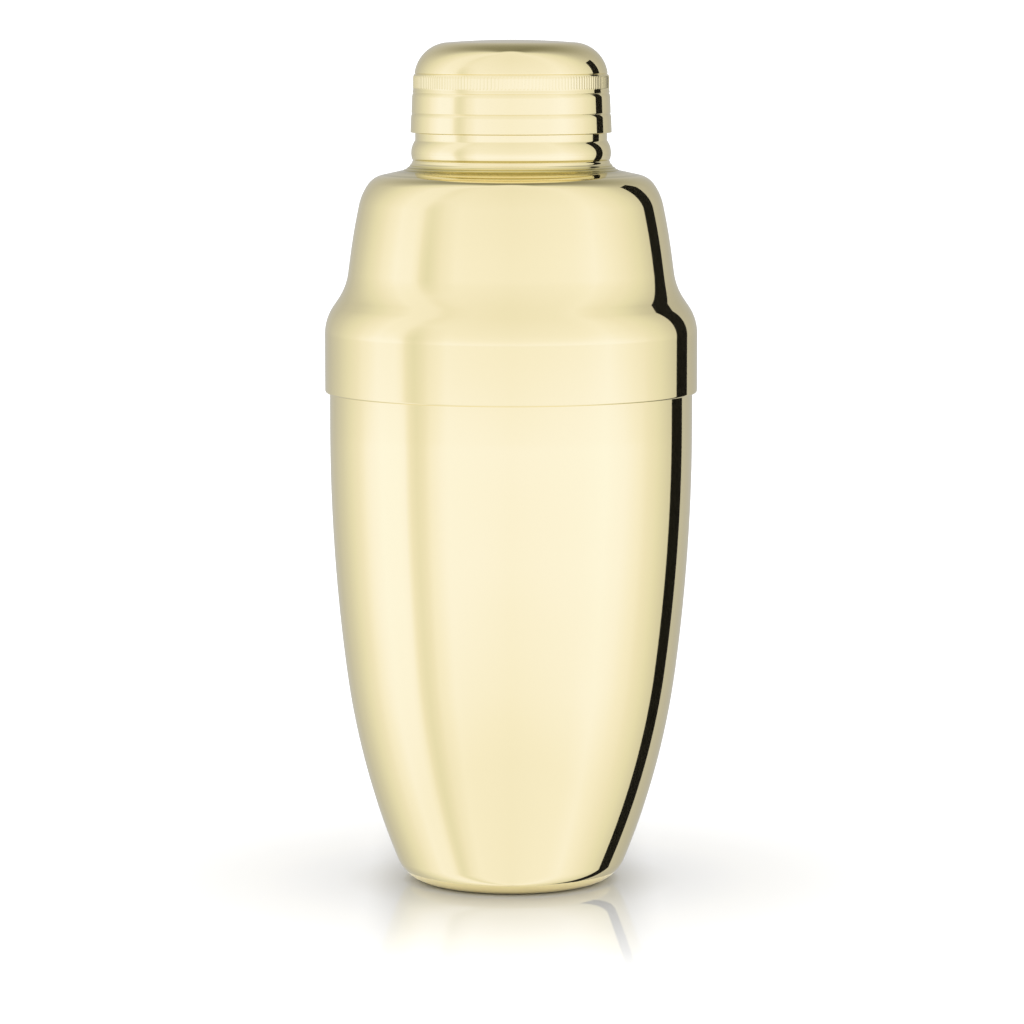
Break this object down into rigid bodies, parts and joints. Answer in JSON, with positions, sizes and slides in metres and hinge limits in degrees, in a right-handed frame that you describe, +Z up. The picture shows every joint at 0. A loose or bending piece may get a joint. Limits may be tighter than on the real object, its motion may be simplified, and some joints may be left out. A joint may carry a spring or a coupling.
{
  "type": "cocktail shaker",
  "caption": "Three-piece cocktail shaker in polished pale gold metal: tapered cup, shoulder with built-in strainer, and ribbed cap.",
  "frame": {"origin": "middle of the cup's foot, on the surface that the closed shaker stands on", "axes": "+Z is up along the shaker's axis, from the cup to the cap; X and Y lie in the surface, and the shaker is round about +Z"},
  "size_m": [0.0841, 0.084, 0.1909],
  "materials": {
    "gold_plate": "mirror-polished pale gold plating over drawn stainless steel",
    "satin_gold": "satin gold plating over perforated stainless steel"
  },
  "bodies": {
    "cup_body": {"cup": "gold_plate"},
    "strainer_body": {"shoulder": "gold_plate", "strainer_plate": "satin_gold"},
    "cap_body": {"cap": "gold_plate"}
  },
  "joints": [
    {"name": "strainer_lift", "type": "slide", "parent": "cup_body", "child": "strainer_body", "axis": [0, 0, 1], "range_m": [0, 0.06]},
    {"name": "cap_lift", "type": "slide", "parent": "strainer_body", "child": "cap_body", "axis": [0, 0, 1], "range_m": [0, 0.05]}
  ]
}
